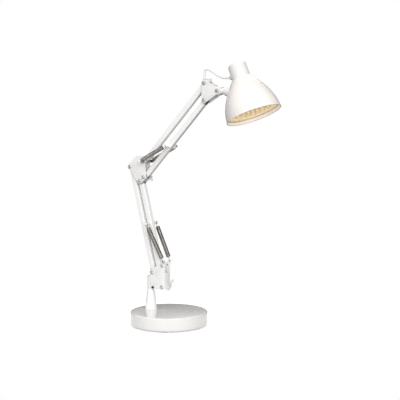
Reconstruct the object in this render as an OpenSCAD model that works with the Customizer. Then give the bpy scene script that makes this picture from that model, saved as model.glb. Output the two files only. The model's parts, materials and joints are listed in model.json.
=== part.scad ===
// Spring-balanced desk lamp: weighted round base, two parallel-bar arms, bell shade with LED board.
// The arm plane is y = 0, the lamp reaches towards +X and the base stands on z = 0.

/* [Base] */
// Diameter of the weighted base
base_d = 190; // [170:1:220]
// Height of the base
base_h = 35; // [30:1:45]
// Distance of the post behind the centre of the base
post_back = 55.5; // [50:0.5:60]
// Diameter of the post at its foot
post_foot_d = 30; // [26:1:36]
// Diameter of the post at its top
post_top_d = 15.5; // [14:0.5:18]

/* [Bars and plates] */
// Outside width of the square bars
bar_w = 12; // [11:0.5:13]
// Wall of the square bars
bar_wall = 1.2; // [1:0.1:1.6]
// Thickness of the joint plates
plate_t = 2; // [1.5:0.1:2.5]
// Gap between the two plates of a joint
plate_gap = 18; // [17:0.5:19]
// Corner radius of the plates
plate_r = 7; // [6.5:0.1:7.5]
// Diameter of the pivot bolts
bolt_d = 6; // [5:0.5:6]

/* [Lower arm] */
// Pivot to pivot length of the lower bars
lower_len = 269; // [240:1:280]
// Lean of the lower bars behind the vertical, in degrees
lower_lean = 14.4; // [8:0.2:18]
// Distance between the two pivots at each end of the lower arm
lower_link = 45.6; // [42:0.2:48]
// Direction of that pair of pivots above +X, in degrees
lower_link_angle = 131.8; // [128:0.2:136]

/* [Upper arm] */
// Pivot to pivot length of the upper bars
upper_len = 259; // [230:1:280]
// Rise of the upper bars above the horizontal, in degrees
upper_rise = 46; // [40:1:50]
// Distance between the two pivots at each end of the upper arm
upper_link = 39.5; // [36:0.5:42]

/* [Springs] */
// Outside diameter of the coil springs
spring_d = 10.5; // [9:0.5:11]
// Wire of the coil springs
wire_d = 1.3; // [1:0.1:1.5]
// Place of the lower cross bolt along its bar, from the lower pivot
lower_hook_at = 160; // [150:1:170]
// Place of the upper cross bolt along its bar, from the elbow pivot
upper_hook_at = 107; // [100:1:110]
// Distance of the upper springs from the arm plane
upper_spring_y = 24; // [23.5:0.5:26]
// Distance of the upper end of the lower springs from the arm plane
lower_spring_y = 20; // [18:0.5:24]

/* [Shade] */
// Diameter of the open rim
rim_d = 129; // [120:1:135]
// Length of the shade from cap top to rim
shade_l = 127; // [120:1:135]
// Tilt of the shade's axis from the vertical, in degrees
shade_tilt = 22; // [15:1:28]
// Diameter of the cap
cap_d = 43; // [40:1:46]
// Length of the cap
cap_l = 35; // [33:1:37]
// Fullness of the bell's curve
bell_power = 1.9; // [1.7:0.05:2.1]
// Depth of the light board behind the rim
board_recess = 9; // [8:0.5:10]
// Diameter of the lead to the head
lead_d = 5; // [4:0.2:5.4]

/* [Hidden] */
$fn = 64;

white = [0.93, 0.93, 0.92];
steel = [0.72, 0.73, 0.75];
dark_steel = [0.25, 0.25, 0.27];
nylon = [0.87, 0.87, 0.85];
rubber = [0.13, 0.13, 0.13];

// A vector of a given length and direction in the arm plane, as [x, z].
function polar(len, deg) = len * [cos(deg), sin(deg)];
// A point of the arm plane at a given y.
function at_y(p, y) = [p[0], y, p[1]];
function outward(a, b) = [b[1] - a[1], a[0] - b[0]] / norm(b - a);
function next(pts, i) = pts[(i + 1) % len(pts)];
// Outline of the straight sides of a plate whose corners are circles of radius r.
function sides(pts, r) = [
    for (i = [0 : len(pts) - 1])
        for (q = [pts[i], next(pts, i)])
            q + r * outward(pts[i], next(pts, i))
];
function arc(centre, r, from, to, steps) = [
    for (i = [0 : steps]) centre + polar(r, from + (to - from) * i / steps)
];

// Pivots of the lower arm
lower_deg = 90 + lower_lean;
pivot_c = [-14, 94];
pivot_b = pivot_c + polar(lower_link, lower_link_angle);
pivot_p3 = pivot_c + polar(lower_len, lower_deg);
pivot_p1 = pivot_b + polar(lower_len, lower_deg);
// Pivots of the upper arm
elbow_step = [11.5, 8.8];
pivot_p2 = pivot_p3 + elbow_step;
pivot_p4 = pivot_p2 + [0, upper_link];
pivot_h2 = pivot_p2 + polar(upper_len, upper_rise);
pivot_h1 = pivot_h2 + [0, upper_link];
pivot_h3 = pivot_h2 + [36, 21];
shade_top = pivot_h3 + [46.7, 60];

// Fits and small hardware
slack = 0.05;
bolt_r = bolt_d / 2;
bore_r = bolt_r + slack;
open_bore_r = bolt_r + 0.3;
plate_in = plate_gap / 2;
plate_out = plate_in + plate_t;
head_r = 4.7;
head_h = 3.2;
socket_r = 2.2;
socket_depth = 2;
nut_r = 5.2;
nut_h = 4;
bar_half = bar_w / 2;
eye_inset = 9;
plug_l = 14;
side_gap = 0.3;
spacer_r = bar_half + 0.5;
spacer_bore_r = bolt_r + 0.15;
screw_r = 2;
screw_head_r = 3.2;
nut_end = plate_out + nut_h + 1;
wing_nut_end = plate_out + 13;

// Post and swivel
post_x = -post_back;
post_h = 52;
post_top = base_h + post_h;
washer_t = 1;
hub_low = post_top + washer_t;
hub_high = 118;
hub_r = 8.5;
spindle_r = 5;
spindle_top = 111.3;
recess_z = 111;
recess_r = 7;
hub_block_x1 = -36;
hub_screw_at = [-41, 91.2];
plate_corner = [-42, 94.5];
bracket_front = pivot_c + [1.8, 0];
web_h = 36;
web_drop = 4;
spindle_low = 6;
lead_bore_r = 2.6;
retainer_screw_r = 1.95;

// Base build-up
skin = 1.5;
foot_r = 7;
foot_ring = 79;
ring_feet = 6;
cover_low = 1.5;
plate_low = 2;
plate_high = 4;
weight_high = 22;
gland_z = 15;
gland_x = -base_d / 2;
gland_r = 4.9;
nut_pocket_r = 13;
base_screws_n = 4;
base_screw_ring = 70;

// Spring anchors
ear_at = [-6, 157];
ear_screw_at = [-11.5, 147.5];
ear_t = 1.6;
ear_r = 5;
ear_y = 13.6;
ear_screw_head_r = 4.2;
ear_pin_r = 1.8;
ear_pin_head_r = 3.2;
lower_hook_l = 10.5;
upper_hook_l = 5.5;
cross_bolt_r = 2.5;
cross_nut_r = 4.6;
cross_nut_h = 4;
cross_head_r = 3.6;
sleeve_r = 3.6;
long_head_r = 4.2;
long_sleeve_r = 4.2;
knob_low = bar_half + cross_nut_h + side_gap;
knob_high = 18.2;
knob_r = 6.4;
lower_hook = pivot_c + polar(lower_hook_at, lower_deg);
upper_hook = pivot_p2 + polar(upper_hook_at, upper_rise);

// Head
stud_deg = -8;
knuckle_r = 10;
knuckle_half = 8;
stem_r = 7;
collar_at = 20;
collar_t = 3;
boss_at = 23.4;
boss_end = 46;
stud_r = 3;
stud_low = 11;
stud_end = 49;
clip_x = pivot_h1[0] - 5;
clip_low = 8.5;
clip_t = 2;
clip_h = 5;
clip_r = 3.8;
clip_half = 4;
neck_t = cap_l;
shell_t = 1;
board_t = 1.6;
board_at = shade_l - board_recess;
led_h = 1.2;
led_r = 2.4;
led_rings = [[0, 1], [12, 6], [24, 12], [36, 18], [48, 24]];
ring_w = 1.8;
ring_t = 1.6;
button_size = [17.2, 9.2, 6];
button_proud = 2.5;

// Lead to the head: half-way point, which moves with the knuckle, and the route on each side of it
grommet_bore_r = 4;
grommet_r = 5.6;
grommet_x = shade_top[0] - 18.3;
grommet_z = shade_top[1] - 31;
lead_mid = [142, 606.5];
lead_route_a = [
    [clip_x, pivot_h1[1] + clip_low + clip_h], [clip_x, 611],
    [clip_x, 621.5], [118, 621.5], [131, 612.5], lead_mid
];
lead_route_b = [lead_mid, [153, 600.5], [163, grommet_z], [grommet_x, grommet_z]];

// Distance of the bell from its axis, at a distance t from the cap's top.
function bell_r(t) =
    let (u = (t - neck_t) / (shade_l - neck_t))
    cap_d / 2 + (rim_d - cap_d) / 2 * (1 - pow(1 - u, bell_power));

// ---------- shared shapes ----------

module bar_y(p, r, y0, y1, n = 64) {
    translate(at_y(p, y1)) rotate([90, 0, 0]) cylinder(r = r, h = y1 - y0, $fn = n);
}

module mirror_pair() {
    children();
    mirror([0, 1, 0]) children();
}

module rounded_plate(pts, r, y0, y1) {
    translate([0, y1, 0]) rotate([90, 0, 0]) {
        linear_extrude(y1 - y0) polygon(sides(pts, r));
        for (p = pts) translate(p) cylinder(r = r, h = y1 - y0);
    }
}

module along(p, deg) {
    translate(at_y(p, 0)) rotate([0, -deg, 0]) children();
}

module drilled_plates(pts, holes, r) {
    mirror_pair() difference() {
        rounded_plate(pts, plate_r, plate_in, plate_out);
        for (h = holes) bar_y(h, r, plate_in - 1, plate_out + 1);
    }
}

// Socket-head bolt with its head on the front plate.
module bolt(p, y_end, front = -plate_out) {
    bar_y(p, bolt_r, front - 0.1, y_end);
    difference() {
        bar_y(p, head_r, front - head_h, front);
        bar_y(p, socket_r, front - head_h - 1, front - head_h + socket_depth, 6);
    }
}

module nut(p, y0, h = nut_h, bore = bolt_r) {
    difference() {
        bar_y(p, nut_r, y0, y0 + h, 6);
        bar_y(p, bore, y0 - 1, y0 + h + 1);
    }
}

module spacers(pts) {
    for (p = pts) mirror_pair() difference() {
        bar_y(p, spacer_r, bar_half + side_gap, plate_in);
        bar_y(p, spacer_bore_r, bar_half - 1, plate_in + 1);
    }
}

module square_tube(p, deg, length) {
    bore = bar_w - 2 * bar_wall;
    color(white) along(p, deg) difference() {
        translate([eye_inset, -bar_half, -bar_half]) cube([length - 2 * eye_inset, bar_w, bar_w]);
        translate([eye_inset - 1, -bore / 2, -bore / 2]) cube([length - 2 * eye_inset + 2, bore, bore]);
    }
}

// Eye, shoulder and plug at one end of a bar; local +X points into the bar.
module bar_end(hole_r) {
    plug = bar_w - 2 * bar_wall - 0.1;
    difference() {
        union() {
            rotate([90, 0, 0]) cylinder(r = bar_half, h = bar_w, center = true);
            translate([0, -bar_half, -bar_half]) cube([eye_inset, bar_w, bar_w]);
            translate([eye_inset - 1, -plug / 2, -plug / 2]) cube([plug_l, plug, plug]);
        }
        rotate([90, 0, 0]) cylinder(r = hole_r, h = bar_w + 2, center = true);
    }
}

module bar_ends(p, deg, length, far_r = bore_r) {
    color(steel) along(p, deg) {
        bar_end(bore_r);
        translate([length, 0, 0]) mirror([1, 0, 0]) bar_end(far_r);
    }
}

// Nuts against a bar and the sleeves that hold the springs away from it.
module cross_nuts(p, y, far_sleeve_low) {
    sleeve_high = y - 2.2;
    color(white) {
        mirror_pair() difference() {
            bar_y(p, cross_nut_r, bar_half, bar_half + cross_nut_h, 6);
            bar_y(p, cross_bolt_r, bar_half - 1, y);
        }
        for (span = [[-sleeve_high, -bar_half - cross_nut_h], [far_sleeve_low, sleeve_high]]) difference() {
            bar_y(p, sleeve_r, span[0], span[1]);
            bar_y(p, cross_bolt_r, span[0] - 1, span[1] + 1);
        }
    }
}

// Wing nut with its bore along +Z and its foot at z = 0.
module wing_nut(size) {
    wing_t = 2.4;
    color(white) difference() {
        union() {
            cylinder(r1 = 6.6 * size, r2 = 5 * size, h = 9 * size);
            for (side = [0, 180]) rotate([0, 0, side]) translate([0, wing_t / 2, 0]) rotate([90, 0, 0]) {
                linear_extrude(wing_t) polygon(size * [[3.6, 1], [6.6, 1], [13.5, 13], [7.5, 14.5], [3.6, 8]]);
                translate(size * [10.5, 13.8]) cylinder(r = 3.1 * size, h = wing_t);
            }
        }
        translate([0, 0, -1]) cylinder(r = bore_r, h = 9 * size + 2);
    }
}

module wing_nut_at(p, y, size, spin) {
    translate(at_y(p, y)) rotate([-90, 0, 0]) rotate([0, 0, spin]) wing_nut(size);
}

// Closed body of one coil spring with a ring round the pin at each end.
module spring(a, b, pin_a, pin_b, hook_l) {
    v = b - a;
    ring_a = pin_a + 0.75;
    ring_b = pin_b + 0.75;
    length = norm(v);
    for (e = [[a, ring_a], [b, ring_b]])
        translate(e[0]) rotate([90, 0, 0]) rotate_extrude() translate([e[1], 0]) circle(d = wire_d, $fn = 16);
    translate(a) rotate([0, acos(v[2] / length), atan2(v[1], v[0])]) {
        difference() {
            translate([0, 0, hook_l]) cylinder(d = spring_d, h = length - 2 * hook_l);
            translate([0, 0, hook_l + wire_d])
                cylinder(d = spring_d - 2 * wire_d, h = length - 2 * hook_l - 2 * wire_d);
        }
        translate([0, 0, ring_a]) cylinder(d = wire_d, h = hook_l - ring_a + wire_d / 2);
        translate([0, 0, length - hook_l - wire_d / 2]) cylinder(d = wire_d, h = hook_l - ring_b + wire_d / 2);
    }
}

// Frame of the shade: local +Z runs from the cap's top down the axis to the rim, local +X away from the arm.
module shade_frame() {
    translate(at_y(shade_top, 0)) rotate([0, 180 - shade_tilt, 0]) mirror([1, 0, 0]) children();
}

module bell_solid(inset) {
    steps = 14;
    ts = [for (i = [0 : steps]) neck_t + (shade_l - neck_t) * pow(i / steps, 1.3)];
    rotate_extrude() polygon(concat(
        [[0, neck_t]],
        [for (t = ts) [bell_r(t) - inset, t]],
        [[0, shade_l]]
    ));
}

// ---------- base ----------

module base_cover() {
    r = base_d / 2;
    outer = concat([[0, cover_low]], arc([r - 6, cover_low + 6], 6, -90, 0, 6),
                   arc([r - 4, base_h - 4], 4, 0, 90, 6), [[0, base_h]]);
    color(white) difference() {
        rotate_extrude($fn = 128) polygon(outer);
        translate([0, 0, cover_low - 1]) cylinder(r = r - 6, h = 3, $fn = 128);
        translate([0, 0, cover_low + 2])
            cylinder(r = r - skin - 0.5, h = base_h - skin - cover_low - 2, $fn = 128);
        translate([post_x, 0, base_h - skin - 1]) cylinder(r = spindle_r + 0.1, h = skin + 2);
        translate([gland_x - 1, 0, gland_z]) rotate([0, 90, 0]) cylinder(r = gland_r + 0.1, h = 8);
    }
}

module at_base_screws() {
    for (i = [0 : base_screws_n - 1]) rotate([0, 0, (i + 0.5) * 360 / base_screws_n])
        translate([base_screw_ring, 0, 0]) children();
}

module base_weight() {
    color(dark_steel) difference() {
        translate([0, 0, plate_high]) cylinder(d = base_d - 14, h = weight_high - plate_high, $fn = 128);
        translate([post_x, 0, plate_high - 1]) cylinder(r = spindle_r + 0.1, h = weight_high);
        translate([post_x, 0, plate_high - 1]) cylinder(r = nut_pocket_r, h = 9);
        translate([gland_x + 2, -6, plate_high - 1]) cube([14, 12, weight_high]);
        at_base_screws() translate([0, 0, plate_high - 1]) cylinder(r = screw_r + 0.1, h = 13);
    }
}

module base_plate() {
    color(steel) difference() {
        translate([0, 0, plate_low]) cylinder(d = base_d - 13, h = plate_high - plate_low, $fn = 128);
        at_base_screws() cylinder(r = screw_r + 0.1, h = 6);
        translate([post_x, 0, 0]) cylinder(r = nut_pocket_r, h = 6);
    }
}

// One foot at the centre and a ring of feet near the edge.
module base_feet() {
    color(rubber) {
        cylinder(r = foot_r, h = plate_low);
        for (a = [0 : 360 / ring_feet : 359]) rotate([0, 0, a]) translate([foot_ring, 0, 0])
            cylinder(r = foot_r, h = plate_low);
    }
}

module base_screws() {
    color(steel) at_base_screws() {
        translate([0, 0, plate_low]) cylinder(r = screw_r, h = 12);
        difference() {
            translate([0, 0, 0.5]) cylinder(r = 3.8, h = plate_low - 0.5);
            cylinder(r = 1.8, h = 1.3, $fn = 6);
        }
    }
}

module cable_gland() {
    color(rubber) translate([gland_x - 3, 0, gland_z]) rotate([0, 90, 0]) difference() {
        union() {
            cylinder(r1 = 5.5, r2 = 7, h = 3);
            cylinder(r = gland_r, h = 12);
            translate([0, 0, 6.2]) cylinder(r = 6.5, h = 2);
        }
        translate([0, 0, -1]) cylinder(r = 3.2, h = 14);
    }
}

module post() {
    color(white) translate([post_x, 0, base_h]) difference() {
        cylinder(d1 = post_foot_d, d2 = post_top_d, h = post_h);
        translate([0, 0, -1]) cylinder(r = spindle_r, h = post_h + 2);
    }
}

module post_spindle() {
    color(steel) translate([post_x, 0, 0]) difference() {
        translate([0, 0, spindle_low]) cylinder(r = spindle_r, h = spindle_top - spindle_low);
        translate([0, 0, spindle_low - 1]) cylinder(r = lead_bore_r, h = 40);
        translate([0, 0, spindle_top - 8]) cylinder(r = retainer_screw_r + 0.05, h = 9);
    }
}

module post_nut() {
    color(steel) translate([post_x, 0, 0]) difference() {
        union() {
            translate([0, 0, 11]) cylinder(r = 12, h = 1);
            translate([0, 0, 6.5]) cylinder(r = 9.5, h = 4.5, $fn = 6);
        }
        cylinder(r = spindle_r, h = 14);
    }
}

module thrust_washer() {
    color(rubber) translate([post_x, 0, post_top]) difference() {
        cylinder(r = 7.4, h = washer_t - 0.2);
        translate([0, 0, -1]) cylinder(r = spindle_r + 0.05, h = 3);
    }
}

module spindle_retainer() {
    color(steel) translate([post_x, 0, spindle_top]) {
        cylinder(r = 6.6, h = 1.2);
        translate([0, 0, 1.2]) cylinder(r = 3.4, h = 2.4);
        translate([0, 0, -7]) cylinder(r = retainer_screw_r, h = 7);
    }
}

// ---------- swivel bracket ----------

module swivel_hub() {
    color(white) difference() {
        union() {
            translate([post_x, 0, hub_low]) cylinder(r = hub_r, h = hub_high - hub_low);
            translate([post_x, -plate_in, hub_low])
                cube([hub_block_x1 - post_x, plate_gap, hub_high - hub_low]);
        }
        translate([post_x, 0, hub_low - 1]) cylinder(r = spindle_r + slack, h = hub_high);
        translate([post_x, 0, recess_z]) cylinder(r = recess_r, h = hub_high);
        mirror_pair() bar_y(hub_screw_at, screw_r, plate_in - 5, plate_in + 1);
    }
}

// Web that joins the two plates of the bracket along their front edge.
module bracket_web() {
    out = outward(bracket_front, ear_screw_at);
    up = [-out[1], out[0]];
    overlap = 0.5;
    inner = bracket_front + (plate_r - plate_t) * out;
    outer = bracket_front + plate_r * out;
    translate([0, plate_in + overlap, 0]) rotate([90, 0, 0]) linear_extrude(plate_gap + 2 * overlap)
        polygon([inner - web_drop * up, outer - web_drop * up, outer + web_h * up, inner + web_h * up]);
}

module lower_plates() {
    color(white) difference() {
        union() {
            drilled_plates([plate_corner, bracket_front, ear_screw_at, pivot_b], [pivot_b, pivot_c], bolt_r);
            bracket_web();
        }
        for (p = [hub_screw_at, ear_screw_at]) mirror_pair() bar_y(p, screw_r, plate_in - 1, plate_out + 1);
    }
}

module hub_screws() {
    color(dark_steel) mirror_pair() {
        bar_y(hub_screw_at, screw_r, plate_in - 5, plate_out + 0.5);
        difference() {
            bar_y(hub_screw_at, screw_head_r, plate_out, plate_out + 2);
            bar_y(hub_screw_at, 1.7, plate_out + 0.8, plate_out + 3, 6);
        }
    }
}

module lower_bolts() {
    color(steel) {
        bolt(pivot_b, nut_end);
        bolt(pivot_c, wing_nut_end + 1);
    }
}

module lower_nut() {
    color(steel) nut(pivot_b, plate_out);
}

module lower_spacers() {
    color(nylon) spacers([pivot_b, pivot_c]);
}

module spring_ears() {
    color(white) mirror_pair() difference() {
        rounded_plate([ear_screw_at, ear_at, ear_at + [-0.5, 0.5]], ear_r, plate_out, plate_out + ear_t);
        bar_y(ear_screw_at, screw_r, plate_out - 1, plate_out + 3);
        bar_y(ear_at, ear_pin_r, plate_out - 1, plate_out + 3);
    }
}

module ear_rivets() {
    outer = plate_out + ear_t;
    head_low = ear_y + 1;
    color(steel) mirror_pair() {
        bar_y(ear_screw_at, screw_r, plate_in, outer + 0.5);
        difference() {
            bar_y(ear_screw_at, ear_screw_head_r, outer, outer + 2.6);
            bar_y(ear_screw_at, 2, outer + 1, outer + 4, 6);
        }
        bar_y(ear_at, ear_pin_r, plate_out, head_low + 0.5);
        bar_y(ear_at, ear_pin_head_r, head_low, head_low + 1.2);
    }
}

module lower_wing_nut() {
    wing_nut_at(pivot_c, plate_out + side_gap, 1.25, 115);
}

// ---------- lower arm ----------

module lower_rear_bar() {
    square_tube(pivot_b, lower_deg, lower_len);
}

module lower_rear_ends() {
    bar_ends(pivot_b, lower_deg, lower_len);
}

module lower_front_bar() {
    color(white) difference() {
        square_tube(pivot_c, lower_deg, lower_len);
        bar_y(lower_hook, cross_bolt_r, -bar_w, bar_w);
    }
}

module lower_front_ends() {
    bar_ends(pivot_c, lower_deg, lower_len, open_bore_r);
}

module lower_spring_bolt() {
    color(steel) {
        bar_y(lower_hook, cross_bolt_r, -lower_spring_y - 2, lower_spring_y + 2);
        mirror_pair() bar_y(lower_hook, cross_head_r, lower_spring_y + 1.5, lower_spring_y + 3.5);
    }
}

module lower_spring_nuts() {
    cross_nuts(lower_hook, lower_spring_y, bar_half + cross_nut_h);
}

module lower_springs() {
    color(steel) mirror_pair()
        spring(at_y(ear_at, ear_y), at_y(lower_hook, lower_spring_y), ear_pin_r, cross_bolt_r, lower_hook_l);
}

// ---------- elbow ----------

module elbow_plates() {
    top_left = [-88, 409];
    top_right = [-72, 410];
    color(white)
        drilled_plates(
            [pivot_p3, pivot_p2, top_right, top_left, pivot_p1],
            [pivot_p1, pivot_p2, pivot_p3, pivot_p4], bolt_r
        );
}

module elbow_bolts() {
    long_end = upper_spring_y + 4.5;
    color(steel) {
        bolt(pivot_p1, nut_end);
        bolt(pivot_p3, nut_end);
        bolt(pivot_p2, wing_nut_end);
        bar_y(pivot_p4, bolt_r, -long_end, long_end);
        mirror_pair() bar_y(pivot_p4, long_head_r, upper_spring_y + 1.5, long_end + 0.6);
    }
}

module elbow_nuts() {
    color(steel) {
        nut(pivot_p1, plate_out);
        nut(pivot_p3, plate_out);
        mirror_pair() nut(pivot_p4, plate_out);
        mirror_pair() difference() {
            bar_y(pivot_p4, long_sleeve_r, plate_out + nut_h, upper_spring_y - 2.2);
            bar_y(pivot_p4, bolt_r, plate_out, upper_spring_y);
        }
    }
}

module elbow_spacers() {
    color(nylon) spacers([pivot_p1, pivot_p2, pivot_p3, pivot_p4]);
}

module elbow_wing_nut() {
    wing_nut_at(pivot_p2, plate_out + side_gap, 0.85, 76);
}

// ---------- upper arm ----------

module upper_main_bar() {
    color(white) difference() {
        square_tube(pivot_p2, upper_rise, upper_len);
        bar_y(upper_hook, cross_bolt_r, -bar_w, bar_w);
    }
}

module upper_main_ends() {
    bar_ends(pivot_p2, upper_rise, upper_len);
}

module upper_spring_bolt() {
    color(steel) {
        bar_y(upper_hook, cross_bolt_r, -upper_spring_y - 2, upper_spring_y + 2);
        mirror_pair() bar_y(upper_hook, cross_head_r, upper_spring_y + 1.5, upper_spring_y + 3.5);
    }
}

module upper_spring_nut() {
    cross_nuts(upper_hook, upper_spring_y, knob_high + side_gap);
}

module upper_springs() {
    color(steel) mirror_pair()
        spring(at_y(pivot_p4, upper_spring_y), at_y(upper_hook, upper_spring_y),
            bolt_r, cross_bolt_r, upper_hook_l);
}

// Round knob on the cross bolt, between the bar's nut and the far spring.
module spring_knob() {
    color(white) difference() {
        union() {
            bar_y(upper_hook, knob_r - 1.4, knob_low, knob_low + 1.5);
            bar_y(upper_hook, knob_r, knob_low + 1.5, knob_high);
        }
        bar_y(upper_hook, cross_bolt_r + slack, knob_low - 1, knob_high + 1);
    }
}

module upper_link_bar() {
    square_tube(pivot_p4, upper_rise, upper_len);
}

module upper_link_ends() {
    bar_ends(pivot_p4, upper_rise, upper_len, open_bore_r);
}

// ---------- head bracket ----------

module head_plates() {
    color(white) drilled_plates([pivot_h2, pivot_h3, pivot_h1], [pivot_h1, pivot_h2, pivot_h3], bolt_r);
}

module head_bolts() {
    color(steel) {
        bolt(pivot_h1, nut_end);
        bolt(pivot_h2, nut_end);
        bolt(pivot_h3, wing_nut_end);
    }
}

module head_nuts() {
    color(steel) {
        nut(pivot_h1, plate_out);
        nut(pivot_h2, plate_out);
    }
}

module head_spacers() {
    color(nylon) {
        spacers([pivot_h1, pivot_h2]);
        mirror_pair() difference() {
            bar_y(pivot_h3, 8, knuckle_half + side_gap, plate_in);
            bar_y(pivot_h3, spacer_bore_r, knuckle_half - 1, plate_in + 1);
        }
    }
}

// Grommet block: its foot is held between the plates and its shelf carries the lead over the link bar.
module lead_clip() {
    foot_x = pivot_h1[0] + 8;
    foot_w = 4;
    foot_drop = 4;
    foot_h = 8;
    neck_h = clip_low + clip_t + foot_drop;
    shelf_l = foot_x - clip_x + clip_half + 1;
    color(nylon) translate([0, 0, pivot_h1[1]]) difference() {
        union() {
            translate([foot_x, -plate_in, -foot_drop]) cube([foot_w, plate_gap, foot_h]);
            translate([foot_x, -clip_half, -foot_drop]) cube([foot_w, 2 * clip_half, neck_h]);
            translate([clip_x - clip_half, -clip_half, clip_low]) cube([shelf_l, 2 * clip_half, clip_t]);
            translate([clip_x, 0, clip_low]) cylinder(r = clip_r, h = clip_h);
        }
        translate([clip_x, 0, 0]) cylinder(r = lead_d / 2, h = 30);
    }
}

module tilt_wing_nut() {
    wing_nut_at(pivot_h3, plate_out + side_gap, 0.85, 70);
}

// ---------- knuckle ----------

module stud_frame() {
    along(pivot_h3, stud_deg) rotate([0, 90, 0]) children();
}

module head_knuckle() {
    color(white) difference() {
        union() {
            bar_y(pivot_h3, knuckle_r, -knuckle_half, knuckle_half);
            stud_frame() cylinder(r = stem_r, h = collar_at + 1);
            stud_frame() translate([0, 0, collar_at]) cylinder(r = knuckle_r, h = collar_t);
        }
        bar_y(pivot_h3, bore_r, -knuckle_half - 1, knuckle_half + 1);
        stud_frame() translate([0, 0, stud_low]) cylinder(r = stud_r, h = 20);
    }
}

module swivel_stud() {
    color(steel) stud_frame() translate([0, 0, stud_low]) cylinder(r = stud_r, h = stud_end - stud_low);
}

module stud_nut() {
    color(steel) stud_frame() difference() {
        translate([0, 0, stud_end - 5]) cylinder(r = 5.5, h = 4, $fn = 6);
        cylinder(r = stud_r, h = stud_end + 1);
    }
}

// ---------- shade ----------

module shade_bell() {
    color(white) difference() {
        shade_frame() difference() {
            union() {
                bell_solid(0);
                translate([0, 0, shade_l - 1.6]) cylinder(r = rim_d / 2 + 0.8, h = 1.6, $fn = 128);
            }
            bell_solid(shell_t);
            translate([0, 0, shade_l - 2]) cylinder(r = rim_d / 2 - shell_t, h = 4, $fn = 128);
            translate([0, 0, neck_t - 1]) cylinder(r = cap_d / 2 - shell_t, h = 3);
        }
        stud_frame() cylinder(r = stud_r + slack, h = stud_end + 2);
    }
}

module shade_boss() {
    color(white) difference() {
        stud_frame() translate([0, 0, boss_at]) cylinder(r = knuckle_r, h = boss_end - boss_at);
        shade_frame() bell_solid(0);
        shade_frame() cylinder(r = cap_d / 2 + 0.2, h = neck_t);
        stud_frame() cylinder(r = stud_r + slack, h = stud_end);
    }
}

module shade_cap() {
    r = cap_d / 2;
    color(white) difference() {
        shade_frame() difference() {
            rotate_extrude()
                polygon(concat([[0, 0]], arc([r - 6, 6], 6, -90, 0, 6), [[r, cap_l], [0, cap_l]]));
            translate([0, 0, 2]) cylinder(r = r - 2, h = cap_l);
            translate([0, 0, 1]) cube([button_size[0] + 0.8, button_size[1] + 0.8, 4], center = true);
        }
        gland_frame() cylinder(r = grommet_bore_r, h = 14);
    }
}

module gland_frame() {
    translate([grommet_x, 0, grommet_z]) rotate([0, 90, 0]) children();
}

module lead_grommet() {
    color(nylon) difference() {
        gland_frame() difference() {
            cylinder(r = grommet_r, h = 14);
            cylinder(r = lead_d / 2, h = 15);
        }
        shade_frame() cylinder(r = cap_d / 2, h = cap_l + 2);
    }
    color(nylon) gland_frame() difference() {
        translate([0, 0, 7.4]) cylinder(r = grommet_bore_r - 0.1, h = 6);
        cylinder(r = lead_d / 2, h = 15);
    }
}

// Lamp driver inside the neck of the bell.
module driver_box() {
    color([0.2, 0.35, 0.25]) shade_frame() translate([-10, -8, 42]) cube([26, 16, 20]);
}

module led_board() {
    color([0.85, 0.7, 0.45]) shade_frame() translate([0, 0, board_at - board_t])
        cylinder(r = bell_r(board_at - board_t) - shell_t - 0.4, h = board_t, $fn = 128);
}

module leds() {
    color([1, 0.93, 0.75]) shade_frame() for (ring = led_rings)
        for (i = [0 : ring[1] - 1])
            rotate([0, 0, 360 * i / ring[1]]) translate([ring[0], 0, board_at])
                cylinder(r = led_r, h = led_h, $fn = 24);
}

// Snap ring that holds the board in the bell.
module retaining_ring() {
    r = bell_r(board_at) - shell_t - 0.4;
    color(dark_steel) shade_frame() translate([0, 0, board_at]) difference() {
        cylinder(r = r, h = ring_t, $fn = 128);
        translate([0, 0, -1]) cylinder(r = r - ring_w, h = ring_t + 2, $fn = 128);
    }
}

module switch_button() {
    color(nylon) shade_frame() translate([-button_size[0] / 2, -button_size[1] / 2, -button_proud])
        cube(button_size);
}

// ---------- lead to the head ----------

// Quadratic blend through the middles of the legs, which keeps the bends round.
function smooth(pts, per_leg) = [
    pts[0],
    for (i = [1 : len(pts) - 2])
        for (k = [0 : per_leg - 1])
            let (a = (pts[i - 1] + pts[i]) / 2, b = pts[i], c = (pts[i] + pts[i + 1]) / 2, s = k / per_leg)
            (1 - s) * (1 - s) * a + 2 * s * (1 - s) * b + s * s * c,
    (pts[len(pts) - 2] + pts[len(pts) - 1]) / 2,
    pts[len(pts) - 1]
];
function heading(pts, i) =
    let (d = pts[min(i + 1, len(pts) - 1)] - pts[max(i - 1, 0)])
    atan2(d[1], d[0]);

// Round tube along a route in the arm plane.
module lead(route) {
    sides_n = 10;
    path = smooth(route, 2);
    rings = len(path);
    points = [
        for (i = [0 : rings - 1])
            let (deg = heading(path, i))
            for (k = [0 : sides_n - 1])
                let (across = lead_d / 2 * cos(360 * k / sides_n), side = lead_d / 2 * sin(360 * k / sides_n))
                at_y(path[i] + across * [-sin(deg), cos(deg)], side)
    ];
    walls = [
        for (i = [0 : rings - 2])
            for (k = [0 : sides_n - 1])
                let (m = (k + 1) % sides_n, a = i * sides_n, b = a + sides_n)
                [a + k, a + m, b + m, b + k]
    ];
    ends = [
        [for (k = [sides_n - 1 : -1 : 0]) k],
        [for (k = [0 : sides_n - 1]) (rings - 1) * sides_n + k]
    ];
    color([0.93, 0.93, 0.9]) polyhedron(points = points, faces = concat(walls, ends), convexity = 4);
}

module head_lead_a() {
    lead(lead_route_a);
}

module head_lead_b() {
    lead(lead_route_b);
}

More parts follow.
